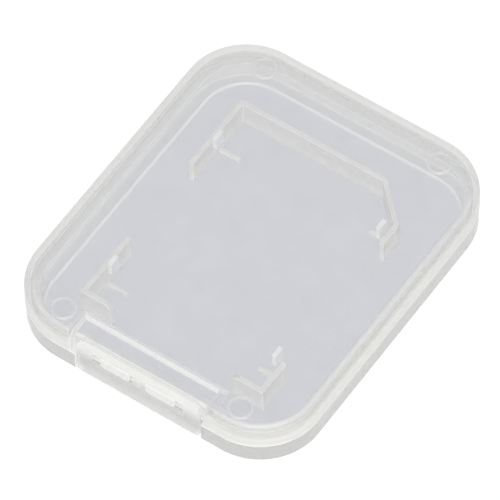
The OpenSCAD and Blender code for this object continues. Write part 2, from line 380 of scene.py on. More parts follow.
def between(tree, share, first, second):
    """A colour between two others."""
    if first == second:
        return first
    node = tree.nodes.new("ShaderNodeMix")
    node.data_type = "RGBA"
    for name, value in {"A": first, "B": second, "Factor": share}.items():
        feed(tree, node.inputs[name], value)
    return node.outputs["Result"]


def layer(tree, share, under, over):
    """Lays one shader over another."""
    node = tree.nodes.new("ShaderNodeMixShader")
    for socket, value in zip(node.inputs, (share, under.outputs[0], over.outputs[0])):
        feed(tree, socket, value)
    return node


def noise(tree, vector, scale, detail, roughness=0.5):
    """A noise pattern."""
    node = tree.nodes.new("ShaderNodeTexNoise")
    ways = {"Scale": scale, "Detail": detail, "Roughness": roughness}
    for name, value in {"Vector": vector, **ways}.items():
        feed(tree, node.inputs[name], value)
    return node.outputs["Fac"]


print("helpers for looks: between, layer, noise")

# %% [markdown]
# ## Signs on the surface
# These signs say how a point of the plastic lies. All of them come from the surface
# itself: its place and normal in its own object, the rim mark, and which side of the skin
# is seen. None reads the camera. "near" is the outer skin of a wall, seen from outside,
# and "leaving" is that same skin seen through the plastic, where the ray has come a long
# way along the wall.

# %% Read the signs
CLOUD_SCALE, CLOUD_DETAIL, CLOUD_ROUGHNESS = 160, 4, 0.55
STEEP_POWER = 3


def read_signs(tree):
    """Sockets that say how a point of the plastic lies."""
    coordinates = tree.nodes.new("ShaderNodeTexCoord").outputs
    place, normal = coordinates["Object"], coordinates["Normal"]
    facing = tree.nodes.new("ShaderNodeLayerWeight").outputs["Facing"]
    back = tree.nodes.new("ShaderNodeNewGeometry").outputs["Backfacing"]
    rim = tree.nodes.new("ShaderNodeAttribute")
    rim.attribute_name = "rim"
    away = dot(tree, place, normal)

    upright = reckon(tree, "ABSOLUTE", height_of(tree, normal))
    upright = reckon(tree, "SUBTRACT", 1, upright, clamp=True)
    near = reckon(tree, "GREATER_THAN", away, 0)
    near = reckon(tree, "MULTIPLY", near, reckon(tree, "SUBTRACT", 1, back))
    leaving = reckon(tree, "MULTIPLY", reckon(tree, "LESS_THAN", away, 0), back)
    return {
        "place": place,
        "height": height_of(tree, place),
        "clouds": noise(tree, place, CLOUD_SCALE, CLOUD_DETAIL, CLOUD_ROUGHNESS),
        "facing": facing,
        "steep": reckon(tree, "POWER", facing, STEEP_POWER),
        "rim": rim.outputs["Fac"],
        "upright": upright,
        "near": reckon(tree, "MULTIPLY", near, upright),
        "leaving": reckon(tree, "MULTIPLY", leaving, upright),
    }


print("clouds are about", round(1 / CLOUD_SCALE / MM, 1), "mm across")

# %% [markdown]
# ## The milk
# The milk is a Principled surface over a Translucent one, because milky plastic glows a
# little when it is lit from behind. Its roughness wanders in soft clouds, and a fine peel
# breaks up the gloss, as on a moulding from a worn tool. One Principled surface with
# subsurface light would do for a thick piece, but it goes grey in a skin this thin.

# %% Milk and peel
CLOUD_RANGE = (0.35, 0.65)
PEEL_SCALE, PEEL_DETAIL, PEEL_STRENGTH, PEEL_DEPTH = 1500, 2, 0.015, 0.00002
MILK_ROUGHNESS = (0.18, 0.36)
PLASTIC_IOR = 1.49


def peel(tree, place):
    """Fine bumps, as a worn mould leaves them."""
    bump = tree.nodes.new("ShaderNodeBump")
    feed(tree, bump.inputs["Strength"], PEEL_STRENGTH)
    feed(tree, bump.inputs["Distance"], PEEL_DEPTH)
    feed(tree, bump.inputs["Height"], noise(tree, place, PEEL_SCALE, PEEL_DETAIL))
    return bump.outputs["Normal"]


def milk_shader(tree, signs, colour, lit_through, bumps):
    """The white part of the plastic."""
    milk = tree.nodes["Principled BSDF"]
    rough = ramp(tree, signs["clouds"], *CLOUD_RANGE, *MILK_ROUGHNESS)
    feed(tree, milk.inputs["Base Color"], colour)
    feed(tree, milk.inputs["Roughness"], rough)
    feed(tree, milk.inputs["Normal"], bumps)
    feed(tree, milk.inputs["IOR"], PLASTIC_IOR)
    lit = tree.nodes.new("ShaderNodeBsdfTranslucent")
    feed(tree, lit.inputs["Color"], colour)
    return layer(tree, lit_through, milk, lit)


print("milk of index", PLASTIC_IOR, "with a peel", PEEL_DEPTH / MM, "mm deep")

# %% [markdown]
# ## The veil
# The veil says how much of a view ray the milk holds back at a point. It is thin on a
# panel, drifts a little with the clouds, and grows with the signs: on walls, on rims, on
# near skins and where the skin is seen at a low angle. It also grows in a band of height,
# which is a painted highlight.

# %% Veil
VEIL_DRIFT = 0.15
STEEP_VEIL = 0.25


def veil_depth(tree, signs, veil, wall_veil, rim_veil, outer_veil, whitened):
    """How much of a view ray the milk holds back."""
    drift = (veil * (1 - VEIL_DRIFT), veil * (1 + VEIL_DRIFT))
    depth = ramp(tree, signs["clouds"], *CLOUD_RANGE, *drift)
    for sign, more in (("upright", wall_veil), ("rim", rim_veil), ("near", outer_veil)):
        if more:
            depth = reckon(tree, "MULTIPLY_ADD", signs[sign], more, depth)
    # The band of height adds veil and so paints a highlight: on the lid towards its lower
    # rim, on the strap towards its bend.
    if whitened:
        start, end, more = whitened
        whiter = ramp(tree, signs["height"], start * MM, end * MM, 0, more)
        depth = reckon(tree, "ADD", depth, whiter)
    return reckon(tree, "MULTIPLY_ADD", signs["steep"], STEEP_VEIL, depth, clamp=True)


print("the veil drifts by", VEIL_DRIFT, "of itself")

# %% [markdown]
# ## Gloss, and a way for the light
# A thin gloss lies on top and grows towards the edges of round shapes. Light has to reach
# the inside of the case too. For shadow rays, and for light that bounces off matt
# surfaces, the plastic is simply clear. The Light Path node allows that, and it keeps the
# case from filling with black shadows.

# %% Gloss and open way
GLOSS_ROUGHNESS, GLOSS_FLAT, GLOSS_STEEP, GLOSS_POWER = 0.3, 0.02, 0.35, 5
LIGHT_PASSES = (0.97, 0.97, 0.975)


def glossed(tree, signs, under, bumps):
    """A thin gloss over a shader."""
    gloss = tree.nodes.new("ShaderNodeBsdfGlossy")
    feed(tree, gloss.inputs["Roughness"], GLOSS_ROUGHNESS)
    feed(tree, gloss.inputs["Normal"], bumps)
    shine = reckon(tree, "POWER", signs["facing"], GLOSS_POWER)
    shine = reckon(tree, "MULTIPLY_ADD", shine, GLOSS_STEEP, GLOSS_FLAT)
    return layer(tree, shine, under, gloss)


def open_to_light(tree, seen):
    """Shows a shader to view rays, and lets light pass."""
    rays = tree.nodes.new("ShaderNodeLightPath").outputs
    light = reckon(tree, "MAXIMUM", rays["Is Shadow Ray"], rays["Is Diffuse Ray"])
    clear = tree.nodes.new("ShaderNodeBsdfTransparent")
    feed(tree, clear.inputs["Color"], LIGHT_PASSES)
    return layer(tree, light, seen, clear)


print("each skin lets", LIGHT_PASSES[0], "of the light pass")

# %% [markdown]
# ## Colour and tint
# The milk has three colours: on panels, on walls, and on rims or wherever the skin is seen
# at a low angle. Walls may turn darker below the seam: that is painted shade, where the tray
# shades itself. What passes a skin has a tint, on walls another one, and it can be darker
# where the ray leaves through the far side of a wall.

# %% Colour of the milk, tint of what passes
PAINTED_SHADE_BAND = (0.0029, 0.0031)


def milk_colour(tree, signs, milk, wall_milk, rim_milk, painted_shade_milk):
    """What colour the milk has at a point."""
    # Below the seam the wall takes a darker milk: painted shade, where the tray shades
    # itself.
    if painted_shade_milk:
        low = ramp(tree, signs["height"], *PAINTED_SHADE_BAND, 1, 0)
        wall_milk = between(tree, low, wall_milk, painted_shade_milk)
    whiter = reckon(tree, "ADD", signs["rim"], signs["steep"], clamp=True)
    colour = between(tree, signs["upright"], milk, wall_milk)
    return between(tree, whiter, colour, rim_milk)


def clear_way(tree, signs, tint, wall_tint, far_tint):
    """What passes a skin."""
    aside = reckon(tree, "MAXIMUM", signs["upright"], signs["rim"])
    passed = between(tree, aside, tint, wall_tint or tint)
    if far_tint:
        passed = between(tree, signs["leaving"], passed, far_tint)
    clear = tree.nodes.new("ShaderNodeBsdfTransparent")
    feed(tree, clear.inputs["Color"], passed)
    return clear


print("walls change over from", PAINTED_SHADE_BAND[0] / MM, "to", PAINTED_SHADE_BAND[1] / MM, "mm up")

# %% [markdown]
# ## The recipe
# All layers come together here: what passes a skin, then the milk by the depth of the
# veil, the gloss, and the open way for light. Each finish below is one call of it.

# %% Mix a clear plastic


def clear_plastic(
    name, tint, milk, wall_milk, rim_milk, veil, rim_veil,
    wall_tint=None, far_tint=None, painted_shade_milk=None, wall_veil=0, outer_veil=0,
    whitened=None, lit_through=0.4,
):
    """Milky plastic in layers. whitened is (from z, to z, more veil), in millimetres: a
    painted highlight by height.
    """
    material = bpy.data.materials.new(name)
    material.use_nodes = True
    tree = material.node_tree
    signs = read_signs(tree)
    bumps = peel(tree, signs["place"])
    colour = milk_colour(tree, signs, milk, wall_milk, rim_milk, painted_shade_milk)
    body = milk_shader(tree, signs, colour, lit_through, bumps)
    clear = clear_way(tree, signs, tint, wall_tint, far_tint)
    depth = veil_depth(tree, signs, veil, wall_veil, rim_veil, outer_veil, whitened)
    seen = glossed(tree, signs, layer(tree, depth, clear, body), bumps)
    whole = open_to_light(tree, seen)
    feed(tree, tree.nodes["Material Output"].inputs["Surface"], whole.outputs[0])
    return material


print("layers: what passes, milk, gloss, open way")

# %% [markdown]
# ## Finishes of the panels
# The case is a single material, but it looks different by thickness, and it carries some
# painted light and shade. The wide panels pass a cool grey, and the floor takes more light
# than the lid. Walls look creamy, the tray's wall darker below the seam with painted shade.
# The lid turns whiter towards its lower rim and the strap towards its bend, both painted
# highlights. Each of these is the same recipe with its own numbers, which is why they still
# look like one plastic.

# %% Lid, tray and strap looks
GREY = (0.62, 0.625, 0.65)
CREAM = (0.89, 0.885, 0.845)
WHITE = (0.96, 0.96, 0.94)
WATER = (0.99, 0.99, 0.985)
WALL_TINT = (0.95, 0.948, 0.932)
# The lid's walls turn whiter towards the lower rim: a painted highlight of light led along
# the wall.
lid_look = clear_plastic(
    "lid clear", tint=(0.945, 0.947, 0.955), wall_tint=WALL_TINT, far_tint=(0.83, 0.825, 0.8),
    milk=GREY, wall_milk=CREAM, rim_milk=WHITE,
    veil=0.08, wall_veil=0.05, rim_veil=0.4, outer_veil=0.3, whitened=(3.7, 3.3, 0.36),
)
# The tray's walls are darker below the seam: painted shade.
tray_look = clear_plastic(
    "tray clear", tint=(0.905, 0.907, 0.918), wall_tint=WALL_TINT,
    milk=GREY, wall_milk=CREAM, rim_milk=WHITE, painted_shade_milk=(0.36, 0.36, 0.34),
    veil=0.08, wall_veil=0.05, rim_veil=0.65, outer_veil=0.38,
)
# The strap turns whiter towards its bend: a painted highlight of the light on the bend.
strap_look = clear_plastic(
    "strap milky", tint=WATER, wall_tint=(0.94, 0.94, 0.935),
    milk=CREAM, wall_milk=(0.86, 0.86, 0.835), rim_milk=WHITE,
    veil=0.2, wall_veil=0.06, rim_veil=0.2, whitened=(3.3, 5.0, 0.65),
)
print("finishes:", ", ".join(look.name for look in (lid_look, tray_look, strap_look)))

# %% [markdown]
# ## Finishes of the small pieces
# Nest walls, ribs, pegs and keys are seen from the side, along the plastic, so hardly any
# of the view passes them and they look solid and pale. Light that comes from behind would
# turn them grey, so little or none of their milk is lit through. A pad is clear but for
# its ring. The films are whitened all over, as polypropylene is once it has been folded.

# %% Nest, peg, key, pad and film looks
WARM_WHITE = (0.97, 0.955, 0.89)
PALE_WHITE = (0.98, 0.98, 0.95)
nest_look = clear_plastic(
    "nest clear", tint=WATER, milk=WARM_WHITE, wall_milk=WARM_WHITE,
    rim_milk=(0.98, 0.97, 0.91), veil=0.25, rim_veil=0.45, lit_through=0.1,
)
peg_look = clear_plastic(
    "peg milky", tint=WATER, milk=PALE_WHITE, wall_milk=PALE_WHITE,
    rim_milk=(0.99, 0.99, 0.97), veil=0.95, rim_veil=0.05, lit_through=0,
)
key_look = clear_plastic(
    "key milky", tint=WATER, milk=(0.88, 0.88, 0.86), wall_milk=(0.85, 0.85, 0.83),
    rim_milk=(0.94, 0.94, 0.92), veil=0.85, rim_veil=0.15, lit_through=0.2,
)
pad_look = clear_plastic(
    "pad clear", tint=WATER, milk=WHITE, wall_milk=WHITE,
    rim_milk=WHITE, veil=0.02, rim_veil=0.7, lit_through=0.1,
)
film_look = clear_plastic(
    "film whitened", tint=WATER, milk=CREAM, wall_milk=CREAM,
    rim_milk=WHITE, veil=0.5, wall_veil=0.1, rim_veil=0.25,
)
small_looks = (nest_look, peg_look, key_look, pad_look, film_look)
print("finishes:", ", ".join(look.name for look in small_looks))

# %% [markdown]
# ## The lid
# The lid is a shallow cap with large round corners in plan and a rounded upper edge. It
# could be carved from a block. Pushing one face up gives the block with its round corners,
# and insetting and pushing the rim face back up gives the inside, so the wall has the same
# thickness all round.

# %% Lid cap
CORNER_R = 8.2
LID_WALL = 0.8
LID_TOP_T = 0.8
LID_EDGE_R, LID_EDGE_STEPS = 1.2, 9
CEILING_R, CEILING_STEPS = 0.45, 5
rim_z, lid_top = lid_low.z, lid_high.z
ceiling_z = lid_top - LID_TOP_T

bm = bmesh.new()
plan = rounded_face(bm, lid_high.y - lid_low.y, lid_high.x - lid_low.x, CORNER_R, rim_z)
top_face = push(bm, plan, lid_top - rim_z)
round_off(bm, top_face.edges, LID_EDGE_R, LID_EDGE_STEPS)
rim_face = flat_face(bm, rim_z)
bmesh.ops.inset_region(bm, faces=[rim_face], thickness=LID_WALL, use_even_offset=True)
ceiling = push(bm, rim_face, ceiling_z - rim_z)
round_off(bm, ceiling.edges, CEILING_R, CEILING_STEPS)
lid = as_object(bm, "lid_moulding")
print("lid cap:", round(lid_top - rim_z, 2), "mm high, ceiling at", round(ceiling_z, 2))

# %% [markdown]
# ## The lid's hinge side
# At the hinge the lid has a shallow recess in its top, which takes the strap's bent end,
# and below it a wall that stands a little further in. Both are united with the cap first,
# as blocks that overlap it. Then the cuts open the recess and make room for the strap.
# The widest cut comes first, so that only one cut meets the rounded edge. Three cuts
# through the same curve would leave slivers.

# %% Lid recess and hinge wall
RECESS_L = 3.3
POCKET_T = 0.8
POCKET_FRONT_Y = -22.8
BLOCK_OVERLAP, CUT_OVERLAP, PAST = 0.4, 0.2, 1.0
hinge_y = lid_low.y
wall_in_y = hinge_y + LID_WALL
pocket_low, pocket_high = box_mm("lid_hinge_pocket")
wall_low, wall_high = box_mm("lid_hinge_wall")
pocket_top = pocket_low.z + POCKET_T
recess_x = pocket_high.x - POCKET_T
behind_y = wall_in_y - BLOCK_OVERLAP

for low, high in (
    ((pocket_low.x, behind_y, pocket_low.z), (*pocket_high.xy, ceiling_z + BLOCK_OVERLAP)),
    ((wall_low.x, behind_y, rim_z), (*wall_high.xy, pocket_low.z + BLOCK_OVERLAP)),
):
    carve(lid, block(low, high), "UNION")
for low_z, high_z, back_y in (
    (pocket_top, lid_top + PAST, hinge_y + RECESS_L),
    (pocket_low.z, pocket_top + CUT_OVERLAP, POCKET_FRONT_Y),
    (rim_z - PAST, pocket_low.z + CUT_OVERLAP, wall_in_y),
):
    low, high = (-recess_x, hinge_y - PAST, low_z), (recess_x, back_y, high_z)
    carve(lid, block(low, high), "DIFFERENCE")
soften(lid)
lid_nodes = ["lid_shell", "lid_hinge_pocket", "lid_hinge_wall"]
deliver(lid, "lid", lid_nodes, lid_look)

# %% [markdown]
# ## The tray
# The tray is a floor with a wall, and on the wall stands a lip that the lid closes over.
# The same steps make it: push the plan up to the seam, inset and push the lip up, inset
# again and push down to the floor.

# %% Tray and lip
TRAY_EDGE_R, FLOOR_R, EDGE_STEPS = 0.35, 0.35, 4
FLOOR_T = 0.8
LIP_IN, LIP_T = 0.95, 1.0
tray_low, tray_high = box_mm("base_tray")
seam_z = tray_high.z
lip_z = box_mm("base_lip")[1].z
tray_inset = tray_low.y - hinge_y
tray_l, tray_w = tray_high.y - tray_low.y, tray_high.x - tray_low.x

bm = bmesh.new()
push(bm, rounded_face(bm, tray_l, tray_w, CORNER_R - tray_inset, 0), seam_z)
round_off(bm, flat_face(bm, 0).edges, TRAY_EDGE_R, EDGE_STEPS)
face = flat_face(bm, seam_z)
for inset, rise in ((LIP_IN - tray_inset, lip_z - seam_z), (LIP_T, FLOOR_T - lip_z)):
    bmesh.ops.inset_region(bm, faces=[face], thickness=inset, use_even_offset=True)
    face = push(bm, face, rise)
round_off(bm, face.edges, FLOOR_R, EDGE_STEPS)
tray = as_object(bm, "tray_moulding")
print("tray: seam at", round(seam_z, 2), "and lip up to", round(lip_z, 2))

# %% [markdown]
# ## The tray's hinge side
# Behind the strap the lip steps inwards, so that the lid's hinge wall has room in front of
# it, and the tray's outer wall is notched for the strap to lie flush. The step is a block
# that is united with the lip, and two cuts take away what stood there before.

# %% Tray step and notch
NOTCH_X = 8.85
STEP_IN = 1.2
NOTCH_PAST = 0.3
step_low, step_high = box_mm("base_hinge_wall")
step_x, step_y = step_high.x - LIP_T, step_high.y - LIP_T
low = (step_low.x, hinge_y + STEP_IN, FLOOR_T / 2)
carve(tray, block(low, (*step_high.xy, lip_z)), "UNION")
for low, high in (
    ((-step_x, hinge_y - PAST, seam_z), (step_x, step_y, lip_z + PAST)),
    ((-NOTCH_X, hinge_y - PAST, -PAST), (NOTCH_X, wall_in_y, lip_z + NOTCH_PAST)),
):
    carve(tray, block(low, high), "DIFFERENCE")
soften(tray)
tray_nodes = ["base_tray", "base_lip", "base_hinge_wall"]
deliver(tray, "base", tray_nodes, tray_look)

# %% [markdown]
# ## The strap
# The strap is a thin plate with a bend at its top, which reaches over into the lid's
# recess. A plate is pushed up to where the bend starts, and then its upper face is spun
# about the bend's axis. Spinning keeps the thickness the same right round the bend.

# %% Strap panel
STRAP_T = 0.65
BEND_R, BEND_Z, BEND_STEPS = 0.95, 4.95, 8
strap_low, strap_high = box_mm("hinge_strap")
strap_w = strap_high.x - strap_low.x
bend_y = hinge_y + BEND_R

bm = bmesh.new()
foot = rounded_face(bm, STRAP_T, strap_w, 0, strap_low.z)
bmesh.ops.translate(bm, vec=(0, hinge_y + STRAP_T / 2, 0), verts=foot.verts)
head = push(bm, foot, BEND_Z - strap_low.z)
bend = math.acos((bend_y - strap_high.y) / BEND_R)
bmesh.ops.spin(
    bm, geom=[head, *head.edges, *head.verts], cent=(0, bend_y, BEND_Z),
    axis=(1, 0, 0), angle=-bend, steps=BEND_STEPS, use_merge=False, use_duplicate=False,
)
strap = as_object(bm, "hinge_strap_panel")
print("strap bends by", round(math.degrees(bend)), "degrees at its top")

# %% [markdown]
# ## The strap's windows
# Two windows with small round corners go through the strap, and its two upper corners are
# rounded too. One tool does both: a rounded plate that stands upright. It cuts the windows
# out, and as a larger plate it keeps only what lies inside it, which trims the corners.

# %% Strap windows and corners
WINDOW_X, WINDOW_W, WINDOW_Z, WINDOW_R = 3.5, 6, (2.85, 5.2), 0.3
WINDOW_BACK_Y = -23.05
TRIM_Z, TRIM_R, TRIM_BACK_Y = -2, 0.6, hinge_y + 2
TOOL_STEPS = 6
STRAP_EDGE_R = 0.08


def upright_tool(x, low_z, high_z, width, radius, back_y):
    """A rounded plate that stands across Y and starts in front of the case."""
    bm = bmesh.new()
    face = rounded_face(bm, high_z - low_z, width, radius, 0, TOOL_STEPS)
    push(bm, face, back_y - (hinge_y - PAST))
    turn = Matrix.Rotation(math.pi / 2, 4, "X")
    move = Matrix.Translation((x, back_y, (low_z + high_z) / 2))
    bmesh.ops.transform(bm, matrix=move @ turn, verts=bm.verts)
    return bm


for x in (-WINDOW_X, WINDOW_X):
    window = upright_tool(x, *WINDOW_Z, WINDOW_W, WINDOW_R, WINDOW_BACK_Y)
    carve(strap, window, "DIFFERENCE")
trim = upright_tool(0, TRIM_Z, strap_high.z, strap_w, TRIM_R, TRIM_BACK_Y)
carve(strap, trim, "INTERSECT")
soften(strap, STRAP_EDGE_R)
deliver(strap, "strap", ["hinge_strap"], strap_look)

# %% [markdown]
# ## A standing wall
# The nest's walls are thin and upright. A chain of points is extruded up into a sheet, and
# Solidify gives the sheet its thickness outwards, so that the inner side keeps to the
# card's outline. The walls stop a hundredth of a millimetre above the floor, because two
# faces in one plane would flicker.

# %% Raise a wall over a chain of points
GAP = 0.01
NEST_T = 0.7
SMALL_R = 0.12
TIP_STEPS = 7


def wall(name, points, top_z, tip_r=0):
    """A wall over a chain of points. A tip radius rounds the upper corner of its last end."""
    foot_z = FLOOR_T + GAP
    bm = bmesh.new()
    last = bmesh.ops.create_vert(bm, co=(*points[0], foot_z))["vert"][0]
    for point in points[1:]:
        last = bmesh.ops.extrude_vert_indiv(bm, verts=[last])["verts"][0]
        last.co = (*point, foot_z)
    made = bmesh.ops.extrude_edge_only(bm, edges=list(bm.edges))["geom"]
    tops = [g for g in made if isinstance(g, bmesh.types.BMVert)]
    bmesh.ops.translate(bm, vec=(0, 0, top_z - foot_z), verts=tops)
    if tip_r:
        tip = next(v for v in tops if (v.co.xy - Vector(points[-1])).length < SAME)
        round_off(bm, [tip], tip_r, TIP_STEPS, "VERTICES")
    made = as_object(bm, name)
    thick = made.modifiers.new("thickness", "SOLIDIFY")
    thick.thickness, thick.offset, thick.use_even_offset = NEST_T, 1, True
    settle(made)
    soften(made, SMALL_R)
    return made


print("nest walls are", NEST_T, "mm thick")

# %% [markdown]
# ## The nest
# Three walls stand on the tray's floor round the card: one long wall round the far end,
# with a slanting piece at the card's cut corner, and two short ones round the front
# corners. The tips of the short walls are rounded, so that the card slides in past them.

# %% Nest walls
NEST_CUT = 4.5
RIGHT_END_Y = 8.12
TIP_R = 1.0
far_low, far_high = box_mm("nest_wall_far")
left_low, left_high = box_mm("nest_corner_left")
right_low, right_high = box_mm("nest_corner_right")
in_x, in_far = far_high.x - NEST_T, far_high.y - NEST_T
in_near = left_low.y + NEST_T

far_chain = [
    (-in_x, far_low.y), (-in_x, in_far), (in_x - NEST_CUT, in_far),
    (in_x, in_far - NEST_CUT), (in_x, RIGHT_END_Y),
]
left_chain = [(-in_x, left_high.y), (-in_x, in_near), (left_high.x, in_near)]
right_chain = [(in_x, right_high.y), (in_x, in_near), (right_low.x, in_near)]
for node, name, chain, top_z, tip_r in (
    ("nest_wall_far", "nest_far_wall", far_chain, far_high.z, 0),
    ("nest_corner_left", "nest_left_corner", left_chain, left_high.z, TIP_R),
    ("nest_corner_right", "nest_right_corner", right_chain, right_high.z, TIP_R),
):
    deliver(wall(name, chain, top_z, tip_r), "base", [node], nest_look)

# %% [markdown]
# ## The ribs
# The card doesn't lie on the floor but on four low ribs, each beside a nest wall. They are
# blocks with soft edges, kept off the floor and off the wall by the same hundredth of a
# millimetre.

# %% Card ribs
CORNERS = ("far_left", "far_right", "front_left", "front_right")
for corner in CORNERS:
    low, high = box_mm("card_rib_" + corner)
    bm = block(low + Vector((GAP, 0, GAP)), high - Vector((GAP, 0, 0)))
    rib = as_object(bm, "rib_" + corner)
    soften(rib, SMALL_R)
    deliver(rib, "base", ["card_rib_" + corner], nest_look)

# %% [markdown]
# ## The pegs
# Four pegs hang from the lid over the card's long edges and hold it down. Each is a block
# whose lower edges are rounded more than the rest, where it meets the card as the lid
# comes down.

# %% Hold-down pegs
PEG_FOOT_R, PEG_FOOT_STEPS, PEG_EDGE_R = 0.3, 4, 0.08


def lower_edges(bm, low_z, along):
    """The lowest edges that run along X (0) or Y (1)."""
    across = 1 - along
    lowest = [e for e in bm.edges if all(v.co.z < low_z + GAP for v in e.verts)]
    return [e for e in lowest if abs(e.verts[0].co[across] - e.verts[1].co[across]) < GAP]


for corner in CORNERS:
    low, high = box_mm("hold_peg_" + corner)
    bm = block(low, high - Vector((0, 0, GAP)))
    round_off(bm, lower_edges(bm, low.z, along=0), PEG_FOOT_R, PEG_FOOT_STEPS)
    peg = as_object(bm, "peg_" + corner)
    soften(peg, PEG_EDGE_R)
    deliver(peg, "lid", ["hold_peg_" + corner], peg_look)

# %% [markdown]
# ## The keys
# Two pale blocks on the lid's hinge wall stand in the strap's windows and keep the lid
# from sliding sideways. The edges at their lower ends are well rounded, so that the strap
# finds its way over them as the case is shut.

# %% Keys in the windows
KEY_FOOT_R, KEY_FOOT_STEPS = 0.55, 5
for side in ("left", "right"):
    low, high = box_mm("lid_key_" + side)
    bm = block(low, high - Vector((0, GAP, 0)))
    round_off(bm, lower_edges(bm, low.z, along=1), KEY_FOOT_R, KEY_FOOT_STEPS)
    key = as_object(bm, "key_" + side)
    soften(key)
    deliver(key, "lid", ["lid_key_" + side], key_look)

# %% [markdown]
# ## The pads
# Four round pads sit under the lid near its corners. Each is a flat disc with a raised
# ring: a circle is pushed down, inset and pushed back a little. The ring alone shows
# through the plastic, so all of a pad's narrow faces count as rims.

# %% Round pads
PAD_SIDES, PAD_RING_W, PAD_DISH, PAD_EDGE_R = 48, 0.3, 0.12, 0.05
for corner in CORNERS:
    low, high = box_mm("lid_pad_" + corner)
    middle, radius = (low + high) / 2, (high.x - low.x) / 2
    bm = bmesh.new()
    bmesh.ops.create_circle(bm, cap_ends=True, segments=PAD_SIDES, radius=radius)
    bmesh.ops.translate(bm, vec=(*middle.xy, high.z - GAP), verts=bm.verts)
    bm.faces.ensure_lookup_table()
    under = push(bm, bm.faces[0], low.z - high.z + GAP)
    bmesh.ops.inset_region(bm, faces=[under], thickness=PAD_RING_W, use_even_offset=True)
    push(bm, under, PAD_DISH)
    pad = as_object(bm, "pad_" + corner)
    soften(pad, PAD_EDGE_R)
    deliver(pad, "lid", ["lid_pad_" + corner], pad_look, least_fold=0)

# %% [markdown]
# ## The catch
# Opposite the hinge, a low ridge outside the lip snaps under a ridge inside the lid's
# wall. Both hardly stand out, so they get only a very small radius.

# %% Catch ridges
RIDGE_EDGE_R = 0.02
off_wall = Vector((0, GAP, 0))
for node, name, body, slot, look in (
    ("base_catch", "catch_on_lip", "base", "tray_plastic", tray_look),
    ("lid_catch", "catch_in_lid", "lid", "lid_plastic", lid_look),
):
    low, high = box_mm(node)
    ridge = as_object(block(low + off_wall, high - off_wall), name)
    soften(ridge, RIDGE_EDGE_R)
    deliver(ridge, body, [node], look)

# %% [markdown]
# ## A bent strip
# On the real case two films, a quarter of a millimetre thick, are all that holds the three
# panels together. Here each is one strip that starts as a chain of points. `run` draws a
# straight part of the chain in many short steps.

# %% Draw a line of short steps
RUN_STEPS = 6


def run(bm, last, target):
    """Draws a line of short steps from a vertex to a point, and returns its end."""
    origin = last.co.copy()
    for step in range(RUN_STEPS):
        last = bmesh.ops.extrude_vert_indiv(bm, verts=[last])["verts"][0]
        last.co = origin.lerp(target, (step + 1) / RUN_STEPS)
    return last


print("each straight part of a film has", RUN_STEPS, "steps")

# %% [markdown]
# The chain lies in the Y-Z plane. It runs to its corner, is spun round it, and runs on to
# its end. Then it is extruded along X into a strip, and Solidify gives it its thickness to
# both sides.

# %% Make a bent strip
FILM_W, FILM_T, FILM_EDGE_R = 16.0, 0.24, 0.03
FOLD_STEPS = 8


def film(name, start, corner, end, radius=0):
    """A thin strip bent round one corner. The points are (y, z)."""
    bm = bmesh.new()
    start, corner, end = (Vector((0, *point)) for point in (start, corner, end))
    inward, outward = (start - corner).normalized(), (end - corner).normalized()
    before, after = corner + inward * radius, corner + outward * radius
    last = run(bm, bmesh.ops.create_vert(bm, co=start)["vert"][0], before)
    if radius:
        centre = before + outward * radius
        arm, reach = before - centre, after - centre
        made = bmesh.ops.spin(
            bm, geom=[last], cent=centre, axis=(1, 0, 0),
            angle=math.atan2(arm.cross(reach).x, arm.dot(reach)), steps=FOLD_STEPS,
            use_merge=False, use_duplicate=False,
        )
        last = next(g for g in made["geom_last"] if isinstance(g, bmesh.types.BMVert))
    run(bm, last, end)
    bmesh.ops.translate(bm, vec=(-FILM_W / 2, 0, 0), verts=bm.verts)
    made = bmesh.ops.extrude_edge_only(bm, edges=list(bm.edges))["geom"]
    far_side = [g for g in made if isinstance(g, bmesh.types.BMVert)]
    bmesh.ops.translate(bm, vec=(FILM_W, 0, 0), verts=far_side)
    made = as_object(bm, name)
    thick = made.modifiers.new("thickness", "SOLIDIFY")
    thick.thickness, thick.offset, thick.use_even_offset = FILM_T, 0, True
    settle(made)
    soften(made, FILM_EDGE_R)
    return made


print("films are", FILM_W, "mm wide and", FILM_T, "mm thick")

# %% [markdown]
# ## The two folds
# In CAD each film is cut at its fold, half on one panel and half on the next. The lower
# film turns a corner from the tray's wall up to the strap. The upper one leads almost
# straight from the strap's bent end into the lid's recess.

# %% Lower and upper fold
LOWER_CORNER, LOWER_R = (-23.85, 0.25), 0.16
LOWER_BEND = (0, -23.7, 0.25), (0, -23.85, 0.42)
UPPER_START, UPPER_CORNER = (-23.34, 5.71), (-23.2, 5.75)
UPPER_BEND = (0, -23.2, 5.75), (0, -22.9, 5.75)
start = (wall_in_y - GAP, LOWER_CORNER[1])
end = (LOWER_CORNER[0], strap_low.z - GAP)
lower = film("lower_fold", start, LOWER_CORNER, end, LOWER_R)
lower_nodes = ["base_fold_film", "lower_fold_film"]
deliver(lower, ("base", "strap", *LOWER_BEND), lower_nodes, film_look)
end = (POCKET_FRONT_Y - GAP, UPPER_CORNER[1])
upper = film("upper_fold", UPPER_START, UPPER_CORNER, end)
upper_nodes = ["upper_fold_film", "lid_fold_film"]
deliver(upper, ("strap", "lid", *UPPER_BEND), upper_nodes, film_look)

# %% [markdown]
# ## The floor
# The case lies on a plain pale floor. White paper that is lit to pure white would throw too
# much light up through the case. So the paper is a middling grey for light that bounces,
# and glows by as much as it lacks only where it is seen: straight on, in a reflection or
# through the plastic. The case still shades it. The floor lies a twentieth of a millimetre
# below the case, so that the two don't flicker.

# %% Floor
FLOOR_GREY = (0.5, 0.5, 0.5)
FLOOR_GLOW = 0.55
FLOOR_HALF, FLOOR_DROP = 3, 0.00005
bm = bmesh.new()
bmesh.ops.create_grid(bm, x_segments=1, y_segments=1, size=FLOOR_HALF)
bmesh.ops.translate(bm, vec=(0, 0, -FLOOR_DROP), verts=bm.verts)
floor = as_object(bm, "studio_floor")

